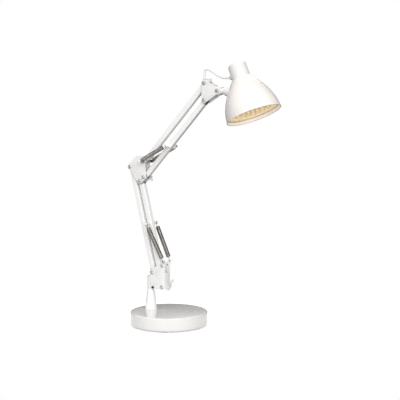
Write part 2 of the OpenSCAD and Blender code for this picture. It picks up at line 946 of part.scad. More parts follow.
base_cover();
base_weight();
base_plate();
base_feet();
base_screws();
cable_gland();
post();
post_spindle();
post_nut();
thrust_washer();
spindle_retainer();
swivel_hub();
lower_plates();
hub_screws();
lower_bolts();
lower_nut();
lower_spacers();
spring_ears();
ear_rivets();
lower_wing_nut();
lower_rear_bar();
lower_rear_ends();
lower_front_bar();
lower_front_ends();
lower_spring_bolt();
lower_spring_nuts();
lower_springs();
elbow_plates();
elbow_bolts();
elbow_nuts();
elbow_spacers();
elbow_wing_nut();
upper_main_bar();
upper_main_ends();
upper_spring_bolt();
upper_spring_nut();
upper_springs();
spring_knob();
upper_link_bar();
upper_link_ends();
head_plates();
head_bolts();
head_nuts();
head_spacers();
lead_clip();
tilt_wing_nut();
head_knuckle();
swivel_stud();
stud_nut();
shade_bell();
shade_boss();
shade_cap();
lead_grommet();
driver_box();
led_board();
leds();
retaining_ring();
switch_button();
head_lead_a();
head_lead_b();
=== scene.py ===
"""Looks of the swing arm desk lamp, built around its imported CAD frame.

Sizes and places are in millimetres here, and piece() brings each mesh to the metres of the frame.
"""
import json
import math

import bmesh
import bpy
from mathutils import Matrix, Vector

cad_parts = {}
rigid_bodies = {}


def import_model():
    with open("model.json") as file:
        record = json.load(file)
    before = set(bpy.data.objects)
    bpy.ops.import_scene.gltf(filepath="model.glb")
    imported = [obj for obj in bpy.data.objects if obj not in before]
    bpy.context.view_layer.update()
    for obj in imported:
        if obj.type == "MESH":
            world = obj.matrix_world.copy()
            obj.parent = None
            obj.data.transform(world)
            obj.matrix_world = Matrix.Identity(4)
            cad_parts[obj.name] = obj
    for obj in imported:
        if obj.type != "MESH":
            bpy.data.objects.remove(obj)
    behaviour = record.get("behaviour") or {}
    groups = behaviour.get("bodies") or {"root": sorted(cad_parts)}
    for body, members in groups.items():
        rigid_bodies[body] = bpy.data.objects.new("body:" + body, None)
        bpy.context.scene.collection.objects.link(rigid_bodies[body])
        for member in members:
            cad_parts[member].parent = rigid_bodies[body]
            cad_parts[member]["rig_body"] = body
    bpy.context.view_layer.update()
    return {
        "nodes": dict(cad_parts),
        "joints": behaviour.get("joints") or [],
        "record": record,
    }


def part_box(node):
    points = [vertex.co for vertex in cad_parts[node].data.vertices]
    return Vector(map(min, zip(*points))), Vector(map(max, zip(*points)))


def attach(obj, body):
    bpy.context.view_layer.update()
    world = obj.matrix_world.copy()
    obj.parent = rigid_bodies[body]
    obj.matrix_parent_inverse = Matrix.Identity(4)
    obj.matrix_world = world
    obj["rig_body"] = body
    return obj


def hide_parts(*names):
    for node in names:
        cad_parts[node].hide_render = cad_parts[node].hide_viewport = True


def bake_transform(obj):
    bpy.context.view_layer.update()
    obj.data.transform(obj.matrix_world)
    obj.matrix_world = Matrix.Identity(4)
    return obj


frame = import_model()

MM = 0.001
TO_METRES = Matrix.Scale(MM, 4)
scene = bpy.context.scene


def new_object(name, data):
    made = bpy.data.objects.new(name, data)
    scene.collection.objects.link(made)
    return made


# ---------- sizes of the design ----------

SPINDLE_R = 5
PLATE_IN = 9
PLATE_T = 2
PLATE_OUT = PLATE_IN + PLATE_T
PLATE_R = 7
PLATE_EDGE = 0.35
BAR_W = 12
BAR_WALL = 1.2
EYE_INSET = 9
BOLT_R = 3
HEAD_R = 4.7
HEAD_H = 3.2
SOCKET_R = 2.2
NUT_R = 5.2
NUT_H = 4
NUT_END = PLATE_OUT + NUT_H + 1
WING_END = PLATE_OUT + 13
SCREW_HEAD_R = 3.2
CROSS_R = 2.5
CROSS_HEAD_R = 3.6
CROSS_NUT_R = 4.6
CROSS_NUT_H = 4
SLEEVE_R = 3.6
LONG_HEAD_R = 4.2
KNOB_R = 6.4
LOWER_SPRING_Y = 20
UPPER_SPRING_Y = 24
LOWER_HOOK_L = 10.5
UPPER_HOOK_L = 5.5
SPRING_R = 5.25
WIRE_R = 0.65
EAR_PIN_R = 1.8
EAR_PIN_Y = 13.6
EAR_PIN_HEAD_R = 3.2
EAR_SCREW_HEAD_R = 4.2
SIDE_GAP = 0.3
SPRING_ROOM = 2.2

SHADE_L = 127
CAP_L = 35
CAP_R = 21.5
RIM_R = 64.5
RIM_BEAD = 0.8
BELL_POWER = 1.9
SHELL = 1
BOARD_AT = 118
BOARD_T = 1.6
LED_RINGS = [(0, 1), (12, 6), (24, 12), (36, 18), (48, 24)]
LED_R = 2.4
LEAD_R = 2.5
NECK_R = 10
KNUCKLE_HALF = 8
STUD_BORE = 3.05

# ---------- places, from the frame ----------

joints = {j["name"]: j for j in frame["joints"]}
slot_of = {s["node"]: s["material_slot"] for s in frame["record"]["subparts"]}


def pivot(joint):
    """Place of a joint in the arm plane."""
    x, _, z = joints[joint]["pos_m"]
    return Vector((x, z)) / MM


def box(node):
    """Lowest and highest corner of a CAD node."""
    low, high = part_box(node)
    return low / MM, high / MM


def in_plane(node):
    """Middle of a CAD node, in the arm plane."""
    low, high = box(node)
    middle = (low + high) / 2
    return Vector((middle.x, middle.z))


def at_y(point, y):
    return Vector((point[0], y, point[1]))


B = pivot("lower_arm")
C = pivot("lower_front_pivot")
P1 = pivot("elbow_carry")
P2 = pivot("upper_arm")
P3 = C + P1 - B
P4 = pivot("upper_link_pivot")
H2 = pivot("head_carry")
H1 = P4 + H2 - P2
H3 = pivot("head_tilt")
POST_X = pivot("base_swivel").x
LOWER_HOOK = in_plane("lower_spring_bolt")
UPPER_HOOK = pivot("knob_turn")
HUB_SCREW = in_plane("hub_screws")
rivets_low, rivets_high = box("ear_rivets")
EAR_SCREW = Vector((rivets_low.x, rivets_low.z)) + Vector((1, 1)) * EAR_SCREW_HEAD_R
EAR_PIN = Vector((rivets_high.x, rivets_high.z)) - Vector((1, 1)) * EAR_PIN_HEAD_R
STUD = Vector(joints["head_swivel"]["axis"])
SHADE_DOWN = Vector(joints["switch_press"]["axis"])
board_low, board_high = box("led_board")
SHADE_TOP = (board_low + board_high) / 2 - SHADE_DOWN * (BOARD_AT - BOARD_T / 2)

LOWER_CORNER = Vector((-42.0, 94.5))
ELBOW_TOP_LEFT = Vector((-88.0, 409.0))
ELBOW_TOP_RIGHT = Vector((-72.0, 410.0))


def frame_of(origin, x_axis, z_axis):
    """Placement whose local X and Z run along the given directions."""
    z_axis = Vector(z_axis).normalized()
    x_axis = Vector(x_axis)
    x_axis = (x_axis - x_axis.dot(z_axis) * z_axis).normalized()
    y_axis = z_axis.cross(x_axis)
    m = Matrix((x_axis, y_axis, z_axis)).transposed().to_4x4()
    m.translation = Vector(origin)
    return m


def across(point):
    """Placement with local Z along world Y through a point of the arm plane, so heights are y values."""
    return frame_of(at_y(point, 0), (1, 0, 0), (0, 1, 0))


def outward(point, side):
    """As across(), with heights measured from the arm plane towards the far (1) or the near side (-1)."""
    return across(point) @ Matrix.Diagonal((1, 1, side, 1))


def inward(point):
    """Placement at a hole in the back of a housing, with local Z along world X."""
    return frame_of(point, (0, 1, 0), (1, 0, 0))


def along(a, b):
    """Placement at a, with local X towards b and local Y along world Y."""
    direction = at_y(b - a, 0).normalized()
    return frame_of(at_y(a, 0), direction, direction.cross(Vector((0, 1, 0))))


IN_SHADE = frame_of(SHADE_TOP, (-SHADE_DOWN.z, 0, SHADE_DOWN.x), SHADE_DOWN)
ON_STUD = frame_of(at_y(H3, 0), (0, 1, 0), STUD)
ON_POST = Matrix.Translation((POST_X, 0, 0))
UPRIGHT = Matrix.Identity(4)

# ---------- camera, in metres ----------

CAMERA_AT = (1.28286, -1.76513, 0.47817)
CAMERA_AZIMUTH = 34.0
CAMERA_DIP = 4.43
SENSOR = 36.0
LENS = 80.55


def make_camera():
    data = bpy.data.cameras.new("camera")
    data.sensor_width = SENSOR
    data.lens = LENS
    camera = new_object("camera", data)
    camera.location = CAMERA_AT
    camera.rotation_euler = (math.radians(90 - CAMERA_DIP), 0, math.radians(CAMERA_AZIMUTH))
    scene.camera = camera


make_camera()

# ---------- materials ----------

# Sockets of a Mix node in colour mode, where each data type has its own.
MIX_FACTOR, MIX_A, MIX_B = 0, 6, 7
MIX_RESULT = 2


class Surface:
    """A Principled material whose colour, roughness and bump come from noise in object space.

    Bump distances are in metres, and noise scales are per metre.
    """

    def __init__(self, name, metallic=0.0, **fixed):
        self.material = bpy.data.materials.new(name)
        self.material.use_nodes = True
        self.tree = self.material.node_tree
        self.shader = self.tree.nodes["Principled BSDF"]
        self.shader.inputs["Metallic"].default_value = metallic
        for socket, value in fixed.items():
            self.shader.inputs[socket.replace("_", " ")].default_value = value
        self.place = self.add("ShaderNodeTexCoord").outputs["Object"]
        self.height = None

    def add(self, kind, **values):
        node = self.tree.nodes.new(kind)
        for key, value in values.items():
            setattr(node, key, value)
        return node

    def link(self, source, target):
        self.tree.links.new(source, target)

    def noise(self, scale, detail=3.0, stretch=(1, 1, 1)):
        node = self.add("ShaderNodeTexNoise")
        node.inputs["Scale"].default_value = scale
        node.inputs["Detail"].default_value = detail
        place = self.place
        if stretch != (1, 1, 1):
            mapping = self.add("ShaderNodeMapping")
            mapping.inputs["Scale"].default_value = stretch
            self.link(place, mapping.inputs["Vector"])
            place = mapping.outputs["Vector"]
        self.link(place, node.inputs["Vector"])
        return node.outputs["Fac"]

    def cells(self, scale):
        node = self.add("ShaderNodeTexVoronoi")
        node.inputs["Scale"].default_value = scale
        self.link(self.place, node.inputs["Vector"])
        return node.outputs["Distance"]

    def remap(self, value, low, high, from_low=0.3, from_high=0.7):
        node = self.add("ShaderNodeMapRange")
        stops = {"From Min": from_low, "From Max": from_high, "To Min": low, "To Max": high}
        for socket, number in stops.items():
            node.inputs[socket].default_value = number
        self.link(value, node.inputs["Value"])
        return node.outputs["Result"]

    def mixed(self, factor, first, second):
        node = self.add("ShaderNodeMix", data_type="RGBA")
        for index, value in ((MIX_A, first), (MIX_B, second)):
            if isinstance(value, tuple):
                node.inputs[index].default_value = (*value, 1)
            else:
                self.link(value, node.inputs[index])
        self.link(factor, node.inputs[MIX_FACTOR])
        return node.outputs[MIX_RESULT]

    def colour(self, factor, first, second):
        self.link(self.mixed(factor, first, second), self.shader.inputs["Base Color"])

    def clouds(self, scale, detail, first, second):
        """Colour that drifts between two tones."""
        self.colour(self.remap(self.noise(scale, detail), 0, 1), first, second)

    def glow(self, colour, strength):
        self.shader.inputs["Emission Color"].default_value = (*colour, 1)
        self.shader.inputs["Emission Strength"].default_value = strength

    def roughness(self, value, low, high):
        self.link(self.remap(value, low, high), self.shader.inputs["Roughness"])

    def gloss(self, scale, detail, low, high):
        self.roughness(self.noise(scale, detail), low, high)

    def grain(self, scale, detail, strength, distance):
        self.bump(self.noise(scale, detail), strength, distance)

    def bump(self, height, strength, distance):
        node = self.add("ShaderNodeBump")
        node.inputs["Strength"].default_value = strength
        node.inputs["Distance"].default_value = distance
        self.link(height, node.inputs["Height"])
        if self.height is not None:
            self.link(self.height, node.inputs["Normal"])
        self.height = node.outputs["Normal"]
        self.link(self.height, self.shader.inputs["Normal"])


def white_enamel(name="white_enamel", dull=(0.86, 0.852, 0.835), clean=(0.9, 0.893, 0.88)):
    """Gloss white powder coat: faint orange peel, uneven gloss, a little dust."""
    s = Surface(name, Coat_Weight=0.35, Coat_Roughness=0.08)
    s.clouds(38, 4, dull, clean)
    s.gloss(160, 5, 0.24, 0.34)
    s.grain(420, 2, 0.07, 0.00006)
    s.grain(1900, 3, 0.03, 0.00002)
    return s.material


def shaded_base_enamel():
    """High-gloss enamel of the base cover, smoother than the sprayed parts; its white is set darker than
    the same paint elsewhere, which paints shade on the base.
    """
    s = Surface("shaded_base_enamel", Coat_Weight=0.6, Coat_Roughness=0.05)
    s.clouds(24, 4, (0.83, 0.812, 0.79), (0.86, 0.843, 0.822))
    s.gloss(90, 4, 0.2, 0.28)
    s.grain(260, 2, 0.05, 0.00004)
    return s.material


def warm_enamel(name="warm_enamel", glow=0.0):
    """The shade's enamel, a warmer white, sprayed over spun metal; a glow above nought paints light on it.
    """
    s = Surface(name, Coat_Weight=0.3, Coat_Roughness=0.1)
    s.glow((1.0, 0.95, 0.9), glow)
    s.clouds(30, 4, (0.94, 0.885, 0.85), (0.965, 0.91, 0.878))
    s.gloss(130, 5, 0.26, 0.38)
    s.grain(380, 2, 0.1, 0.00006)
    s.grain(1700, 3, 0.06, 0.00002)
    return s.material


def white_plastic(name="white_plastic", dull=(0.9, 0.89, 0.87), clean=(0.94, 0.932, 0.915)):
    """Moulded white plastic with a fine eroded grain."""
    s = Surface(name, Subsurface_Weight=0.04)
    s.shader.inputs["Subsurface Radius"].default_value = (0.002, 0.0016, 0.0012)
    s.clouds(55, 4, dull, clean)
    s.gloss(240, 5, 0.3, 0.44)
    s.grain(2600, 4, 0.22, 0.00005)
    return s.material


def metal(name, dark, light, rough, stretch=(1, 1, 1), scale=900, strength=0.2):
    """Bare metal: cloudy tone, fine lines or grain in its gloss and height."""
    s = Surface(name, metallic=1.0)
    s.clouds(120, 5, dark, light)
    lines = s.noise(scale, 4, stretch)
    s.roughness(lines, *rough)
    s.bump(lines, strength, 0.00004)
    return s


def zinc_steel():
    dark, light = (0.42, 0.42, 0.43), (0.6, 0.6, 0.61)
    return metal("zinc_steel", dark, light, (0.14, 0.3), (1, 0.2, 1), 1100).material


def spring_steel():
    dark, light = (0.29, 0.272, 0.25), (0.45, 0.428, 0.4)
    s = metal("spring_steel", dark, light, (0.12, 0.24), scale=2200, strength=0.15)
    s.grain(500, 3, 0.12, 0.00004)
    return s.material


def dark_steel():
    """Black oxide with an oily, patchy sheen."""
    s = Surface("dark_steel", metallic=0.85)
    s.clouds(260, 5, (0.018, 0.018, 0.02), (0.05, 0.048, 0.05))
    s.gloss(420, 4, 0.28, 0.5)
    s.grain(1500, 4, 0.2, 0.00005)
    return s.material


def snap_steel():
    """Blued spring steel of the snap ring."""
    return metal("snap_steel", (0.5, 0.49, 0.47), (0.68, 0.66, 0.63), (0.25, 0.45), scale=1400).material


def cast_iron():
    s = Surface("cast_iron", metallic=0.6)
    s.clouds(90, 6, (0.05, 0.05, 0.052), (0.13, 0.125, 0.12))
    s.gloss(300, 5, 0.55, 0.85)
    s.bump(s.cells(420), 0.5, 0.0004)
    s.grain(900, 5, 0.4, 0.0002)
    return s.material


def rubber():
    s = Surface("rubber")
    s.clouds(180, 5, (0.018, 0.018, 0.018), (0.045, 0.044, 0.043))
    s.gloss(400, 4, 0.6, 0.82)
    s.grain(1400, 4, 0.35, 0.0001)
    return s.material


def nylon():
    s = Surface("nylon", Subsurface_Weight=0.1)
    s.shader.inputs["Subsurface Radius"].default_value = (0.002, 0.0018, 0.0015)
    s.clouds(90, 4, (0.78, 0.77, 0.73), (0.84, 0.83, 0.8))
    s.gloss(300, 4, 0.38, 0.5)
    s.grain(1800, 4, 0.2, 0.00006)
    return s.material


def lead_sheath():
    """Soft extruded PVC: long faint die lines and a matt bloom."""
    s = Surface("lead_sheath")
    s.clouds(70, 4, (0.84, 0.835, 0.82), (0.89, 0.885, 0.875))
    s.gloss(260, 4, 0.36, 0.52)
    s.bump(s.noise(700, 3, (0.25, 1, 0.25)), 0.2, 0.00006)
    return s.material


def aluminium():
    dark, light = (0.6, 0.6, 0.61), (0.72, 0.72, 0.73)
    return metal("aluminium", dark, light, (0.25, 0.45), (1, 6, 1), 500, 0.25).material


def board():
    """Gold-lacquered light board: copper tracks under the lacquer, seen as darker rings and spokes, and a
    faint glow that paints light on it.
    """
    s = Surface("board", metallic=0.25, Coat_Weight=0.5, Coat_Roughness=0.2)
    tone = s.remap(s.noise(240, 4), 0, 1)
    lacquer = s.mixed(tone, (0.72, 0.46, 0.2), (0.86, 0.6, 0.3))
    tracks = s.remap(s.cells(130), 0, 1, 0.12, 0.2)
    s.colour(tracks, (0.95, 0.68, 0.36), lacquer)
    s.gloss(500, 4, 0.3, 0.5)
    s.bump(s.cells(130), 0.4, 0.0002)
    # Painted light: the board glows so it looks lit, though it is no lamp.
    s.glow((1.0, 0.78, 0.45), 0.43)
    return s.material


def led_yellow():
    """Moulded LED package, cream resin, with a faint glow that paints light on it."""
    s = Surface("led_yellow", Coat_Weight=0.3, Coat_Roughness=0.1)
    s.clouds(600, 3, (0.95, 0.84, 0.6), (1.0, 0.92, 0.72))
    s.gloss(900, 3, 0.2, 0.34)
    s.grain(1500, 3, 0.12, 0.00005)
    # Painted light: a faint glow that brightens the LED packages.
    s.glow((1.0, 0.85, 0.55), 0.4)
    return s.material


def phosphor():
    """Orange phosphor in the middle of each LED, with its grains."""
    s = Surface("phosphor", Coat_Weight=0.8, Coat_Roughness=0.05)
    s.colour(s.remap(s.cells(5000), 0, 1, 0.1, 0.6), (0.95, 0.5, 0.16), (1.0, 0.66, 0.3))
    s.gloss(2500, 3, 0.15, 0.3)
    s.bump(s.cells(5000), 0.3, 0.00004)
    return s.material


def driver_green():
    s = Surface("driver_green")
    s.clouds(150, 4, (0.03, 0.14, 0.07), (0.05, 0.2, 0.1))
    s.gloss(300, 4, 0.4, 0.6)
    s.grain(1300, 4, 0.25, 0.00008)
    return s.material


MATERIALS = {make.__name__: make() for make in (
    white_enamel, white_plastic, zinc_steel, dark_steel, spring_steel, cast_iron, rubber, nylon,
    lead_sheath, aluminium, board, led_yellow, driver_green,
)}
WITH_WHITE_HEADS = [MATERIALS["zinc_steel"], MATERIALS["white_plastic"]]
WARM_ENAMEL = warm_enamel()
# The bell's inside is the same enamel with a glow that paints light on the inner wall.
GLOWING_INSIDE_ENAMEL = warm_enamel("painted_light_inside_enamel", 0.22)
# Darker copy of the white paint for the base cover: painted shade on the base.
SHADED_BASE_ENAMEL = shaded_base_enamel()
CAP_PLASTIC = white_plastic("cap_plastic", (0.84, 0.825, 0.805), (0.87, 0.857, 0.838))
PHOSPHOR = phosphor()
SNAP_STEEL = snap_steel()
# Lighter copy of the same white powder coat for the bars and post: painted light on them.
LIT_BAR_ENAMEL = white_enamel("lit_bar_enamel", (0.93, 0.92, 0.905), (0.96, 0.952, 0.94))

# ---------- mesh tools ----------


def loft(bm, sections, closed=False, material=0):
    """Skins a row of sections of points; a section of one point closes an end."""
    rows = [[bm.verts.new(p) for p in section] for section in sections]
    pairs = list(zip(rows, rows[1:]))
    if closed:
        pairs.append((rows[-1], rows[0]))
    for a, b in pairs:
        count = max(len(a), len(b))
        for i in range(count):
            j = (i + 1) % count
            corners = [a[i % len(a)], a[j % len(a)], b[j % len(b)], b[i % len(b)]]
            bm.faces.new(list(dict.fromkeys(corners))).material_index = material


def ring_radius(ring, angle):
    """Radius of a ring at an angle: a circle, a hexagon (with an optional round limit) or a fluted grip."""
    radius = ring[1]
    kind = ring[2] if len(ring) > 2 else "circle"
    if kind == "hex":
        radius = radius * math.cos(math.pi / 6) / math.cos((angle % (math.pi / 3)) - math.pi / 6)
        if len(ring) > 3:
            radius = min(radius, ring[3])
    if kind == "grip":
        radius = radius - ring[3] * (0.5 + 0.5 * math.cos(18 * angle)) ** 3
    return radius


def turned(bm, place, rings, steps=96, closed=False, material=0):
    """Lathe work about local Z. Each ring is (height, radius, kind, limit); radius 0 closes an end."""
    sections = []
    for ring in rings:
        if ring[1] == 0:
            sections.append([place @ Vector((0, 0, ring[0]))])
            continue
        section = []
        for k in range(steps):
            angle = 2 * math.pi * k / steps
            r = ring_radius(ring, angle)
            section.append(place @ Vector((r * math.cos(angle), r * math.sin(angle), ring[0])))
        sections.append(section)
    loft(bm, sections, closed, material)


def arc(centre, radius, start, end, steps):
    """(height, radius) rings along an arc; angles in degrees from the outward radial direction."""
    rings = []
    for i in range(steps + 1):
        a = math.radians(start + (end - start) * i / steps)
        rings.append((centre[1] + radius * math.sin(a), centre[0] + radius * math.cos(a)))
    return rings


def rounded_outline(points, radius, steps=10):
    """Outline of the hull of equal circles on a convex, counter-clockwise list of centres."""
    outline = []
    count = len(points)
    for i, p in enumerate(points):
        before, after = points[i - 1], points[(i + 1) % count]
        a0 = math.atan2(p[1] - before[1], p[0] - before[0]) - math.pi / 2
        a1 = math.atan2(after[1] - p[1], after[0] - p[0]) - math.pi / 2
        turn = (a1 - a0) % (2 * math.pi)
        for k in range(steps + 1):
            a = a0 + turn * k / steps
            outline.append((p[0] + radius * math.cos(a), p[1] + radius * math.sin(a)))
    return outline


def circle(centre, radius, steps=48):
    return [
        (centre[0] + radius * math.cos(2 * math.pi * k / steps),
         centre[1] + radius * math.sin(2 * math.pi * k / steps))
        for k in range(steps)
    ]


def evaluated_mesh(item):
    """Mesh of an object after its modifiers or curve settings."""
    bpy.context.view_layer.update()
    return bpy.data.meshes.new_from_object(item.evaluated_get(bpy.context.evaluated_depsgraph_get()))


def pressed(bm, place, outline, holes, low, high, bevel):
    """Sheet part in the local XZ plane from y = low to y = high, with rounded edges and drilled holes."""
    curve = bpy.data.curves.new("outline", "CURVE")
    curve.dimensions = "2D"
    curve.fill_mode = "BOTH"
    curve.extrude = (high - low) / 2 - bevel
    curve.bevel_depth = bevel
    curve.bevel_resolution = 2
    curve.offset = -bevel
    for loop in [outline, *holes]:
        spline = curve.splines.new("POLY")
        spline.points.add(len(loop) - 1)
        for point, (x, z) in zip(spline.points, loop):
            point.co = (x, z, 0, 1)
        spline.use_cyclic_u = True
    shape = new_object("outline", curve)
    mesh = evaluated_mesh(shape)
    upright = Matrix.Translation((0, (low + high) / 2, 0)) @ Matrix.Rotation(math.pi / 2, 4, "X")
    mesh.transform(place @ upright)
    mesh.materials.clear()
    bm.from_mesh(mesh)
    bpy.data.objects.remove(shape)
    bpy.data.curves.remove(curve)
    bpy.data.meshes.remove(mesh)


def block(bm, place, low, high, bevel, segments=3):
    """Box between two local corners with rounded edges."""
    part = bmesh.new()
    bmesh.ops.create_cube(part, size=1)
    size = Vector(high) - Vector(low)
    for v in part.verts:
        v.co = Vector(low) + Vector((c + 0.5) * s for c, s in zip(v.co, size))
    bmesh.ops.bevel(part, geom=part.edges[:], offset=bevel, segments=segments, profile=0.5, affect="EDGES")
    part.transform(place)
    mesh = bpy.data.meshes.new("block")
    part.to_mesh(mesh)
    part.free()
    bm.from_mesh(mesh)
    bpy.data.meshes.remove(mesh)


def swept(bm, points, radius, sides):
    """Round tube along a line of points."""
    last = len(points) - 1
    tangents = [(points[min(i + 1, last)] - points[max(i - 1, 0)]).normalized() for i in range(last + 1)]
    angles = [2 * math.pi * k / sides for k in range(sides)]
    side = tangents[0].orthogonal().normalized()
    sections = []
    for point, tangent in zip(points, tangents):
        side = (side - side.dot(tangent) * tangent).normalized()
        up = tangent.cross(side)
        sections.append([point + radius * (math.cos(a) * side + math.sin(a) * up) for a in angles])
    loft(bm, [[points[0]], *sections, [points[-1]]])


def piece(bm, node, angle=35, materials=None, rides=True):
    """Makes a mesh in millimetres the piece that stands for a CAD node, on its body and with its finish."""
    bm.transform(TO_METRES)
    bmesh.ops.remove_doubles(bm, verts=bm.verts, dist=1e-7)
    bmesh.ops.recalc_face_normals(bm, faces=bm.faces)
    mesh = bpy.data.meshes.new(node + "_detail")
    bm.to_mesh(mesh)
    bm.free()
    mesh.polygons.foreach_set("use_smooth", [True] * len(mesh.polygons))
    mesh.set_sharp_from_angle(angle=math.radians(angle))
    for material in materials or [MATERIALS[slot_of[node]]]:
        mesh.materials.append(material)
    made = new_object(mesh.name, mesh)
    if rides:
        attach(made, frame["nodes"][node]["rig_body"])
    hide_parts(node)
    return made


def lathe(node, place, rings, steps=96, angle=35, closed=False, materials=None):
    """Makes a piece that is one lathe-turned body."""
    bm = bmesh.new()
    turned(bm, place, rings, steps, closed)
    piece(bm, node, angle, materials)


# ---------- hardware ----------


def thread(start, end, radius, pitch=0.8, depth=0.32):
    """Rings of a screw thread between two heights."""
    turns = max(1, round(abs(end - start) / pitch))
    step = (end - start) / turns
    rings = [(start, radius - depth)]
    for i in range(turns):
        rings += [(start + (i + 0.5) * step, radius), (start + (i + 1) * step, radius - depth)]
    return rings


def socket_bolt(bm, point, end):
    """Button-head bolt with a hexagon socket, its head on the front plate and its thread at the far end."""
    front = -PLATE_OUT
    top = front - HEAD_H
    turned(bm, across(point), [
        (end, 0), (end, BOLT_R - 0.7), *thread(end - 0.4, PLATE_OUT - 0.5, BOLT_R),
        (PLATE_OUT - 1.0, BOLT_R), (front, BOLT_R), (front, HEAD_R - 0.2), (front - 0.25, HEAD_R),
        (front - 0.8, HEAD_R - 0.04), (front - 1.5, HEAD_R - 0.3), (front - 2.1, HEAD_R - 0.75),
        (front - 2.6, HEAD_R - 1.3), (front - 3.0, HEAD_R - 1.95), (top, SOCKET_R + 0.15),
        (top + 0.25, SOCKET_R, "hex"), (top + 1.8, SOCKET_R, "hex"), (top + 2.2, 0),
    ])


def hex_nut(bm, point, start, height=NUT_H, bore=BOLT_R, radius=NUT_R):
    """Chamfered hexagon nut."""
    end = start + height
    limit = radius * 0.9
    turned(bm, across(point), [
        (start, bore), (start, radius, "hex", limit), (start + 0.55, radius, "hex"),
        (end - 0.55, radius, "hex"), (end, radius, "hex", limit), (end, bore + 0.5), (end - 0.5, bore),
    ], closed=True)


def sleeve(bm, place, radius, bore, start, end, edge=0.4, steps=72):
    """Round sleeve or washer with broken edges."""
    turned(bm, place, [
        (start, bore), (start, radius - edge), (start + edge, radius), (end - edge, radius),
        (end, radius - edge), (end, bore),
    ], steps, closed=True)


def pin(bm, place, radius, start, end, edge=0.4, steps=48):
    """Solid round pin with broken edges."""
    turned(bm, place, [
        (start, 0), (start, radius - edge), (start + edge, radius), (end - edge, radius),
        (end, radius - edge), (end, 0),
    ], steps)


def cap_heads(bm, point, low, high, radius):
    """Domed white heads that keep the two springs on their bolt."""
    for side in (-1, 1):
        turned(bm, outward(point, side), [
            (low, 0), (low, radius - 0.3), (low + 0.3, radius), (high - 0.9, radius),
            (high - 0.3, radius - 0.6), (high, radius - 1.6), (high, 0),
        ], 60, material=1)


def spacer_washers(bm, points, radius=6.5, inner=BAR_W / 2 + SIDE_GAP):
    """Washers between the plates and what turns between them."""
    for point in points:
        for side in (-1, 1):
            sleeve(bm, outward(point, side), radius, BOLT_R + 0.15, inner, PLATE_IN, 0.25)


def wing_nut(node, point, size, spin):
    """Moulded wing nut: a tapered, ribbed boss with two rounded wings."""
    place = Matrix.Translation(at_y(point, PLATE_OUT + SIDE_GAP)) @ Matrix.Rotation(-math.pi / 2, 4, "X")
    place = place @ Matrix.Rotation(math.radians(spin), 4, "Z") @ Matrix.Scale(size, 4)
    bore = BOLT_R / size
    bm = bmesh.new()
    turned(bm, place, [
        (0, bore), (0, 6.2), (0.5, 6.6), (7.6, 5.4), (8.6, 4.9), (9, 4.2), (9, bore + 0.6), (8.4, bore),
    ], closed=True)
    wing = [Vector(p) for p in ((4.4, 3.2), (6.2, 3.0), (11.0, 13.2), (9.2, 14.2), (4.4, 8.8))]
    for half_turn in (0, math.pi):
        turn = place @ Matrix.Rotation(half_turn, 4, "Z")
        pressed(bm, turn, rounded_outline(wing, 2.3), [], -1.4, 1.4, 1.0)
    piece(bm, node, 40)


# ---------- base ----------


def make_base():
    low, high = box("base_cover")
    r, low, top = high.x, low.z, high.z
    skin, wall, foot_round, top_round = 1.5, 2, 6, 3
    lathe("base_cover", UPRIGHT, [
        (top - skin, 0), (top - skin, r - wall), (low + wall, r - wall), (low + wall, r - foot_round),
        (low, r - foot_round), *arc((r - foot_round, low + foot_round), foot_round, -85, 0, 8),
        *arc((r - top_round, top - top_round), top_round, 0, 90, 8), (top, 0),
    ], 256, 40, materials=[SHADED_BASE_ENAMEL])

    low, high = box("base_plate")
    r, low, top = high.x, low.z, high.z
    edge, groove = 0.4, 0.5
    lathe("base_plate", UPRIGHT, [
        (top, 0), (top, r - edge), (top - edge, r), (low + edge, r), (low, r - edge), (low, r - 16),
        (low + groove, r - 17), (low + groove, r - 19), (low, r - 20), (low, 0),
    ], 192)

    bm = bmesh.new()
    high = box("base_feet")[1]
    foot_r = 7
    for x, y in [(0, 0), *circle((0, 0), high.x - foot_r, 6)]:
        turned(bm, Matrix.Translation((x, y, 0)), [
            (high.z, 0), (high.z, foot_r), (0.6, foot_r), (0.15, foot_r - 0.45), (0, foot_r - 1),
            (0, foot_r - 2.6), (0.35, foot_r - 3), (0.35, 0),
        ], 48)
    piece(bm, "base_feet", 30)

    bm = bmesh.new()
    screw_ring = 70
    for k in range(4):
        a = math.radians(45 + 90 * k)
        turned(bm, Matrix.Translation((screw_ring * math.cos(a), screw_ring * math.sin(a), 0)), [
            (14, 0), (14, 1.5), (13.6, 2), (2, 2), (2, 3.7), (1.2, 3.6), (0.7, 3), (0.5, 2.2),
            (0.7, 1.8, "hex"), (1.5, 1.8, "hex"), (1.7, 0),
        ], 48)
    piece(bm, "base_screws")

    low, high = box("cable_gland")
    middle = (low + high) / 2
    bore, neck = 3.2, 4.9
    lathe("cable_gland", inward((low.x, middle.y, middle.z)), [
        (0, bore), (0, neck), (0.4, 5.5), (2.6, 7), (3, 6.8), (3, neck), (12, neck), (12, bore),
    ], 72, closed=True)


def make_post():
    low, high = box("post")
    foot_r = (high.x - low.x) / 2
    top_r = 7.75
    low, top, edge = low.z, high.z, 0.4
    lathe("post", ON_POST, [
        (low, SPINDLE_R), (low, foot_r - 0.2), (low + edge, foot_r - 0.1), (top - edge, top_r + 0.05),
        (top, top_r - edge), (top, SPINDLE_R),
    ], 128, 40, closed=True, materials=[LIT_BAR_ENAMEL])


# ---------- joint plates ----------


def plates(bm, corners, holes):
    """The pair of plates of one joint."""
    outline = rounded_outline(corners, PLATE_R, 14)
    loops = [circle(hole, BOLT_R) for hole in holes]
    for low in (-PLATE_OUT, PLATE_IN):
        pressed(bm, UPRIGHT, outline, loops, low, low + PLATE_T, PLATE_EDGE)


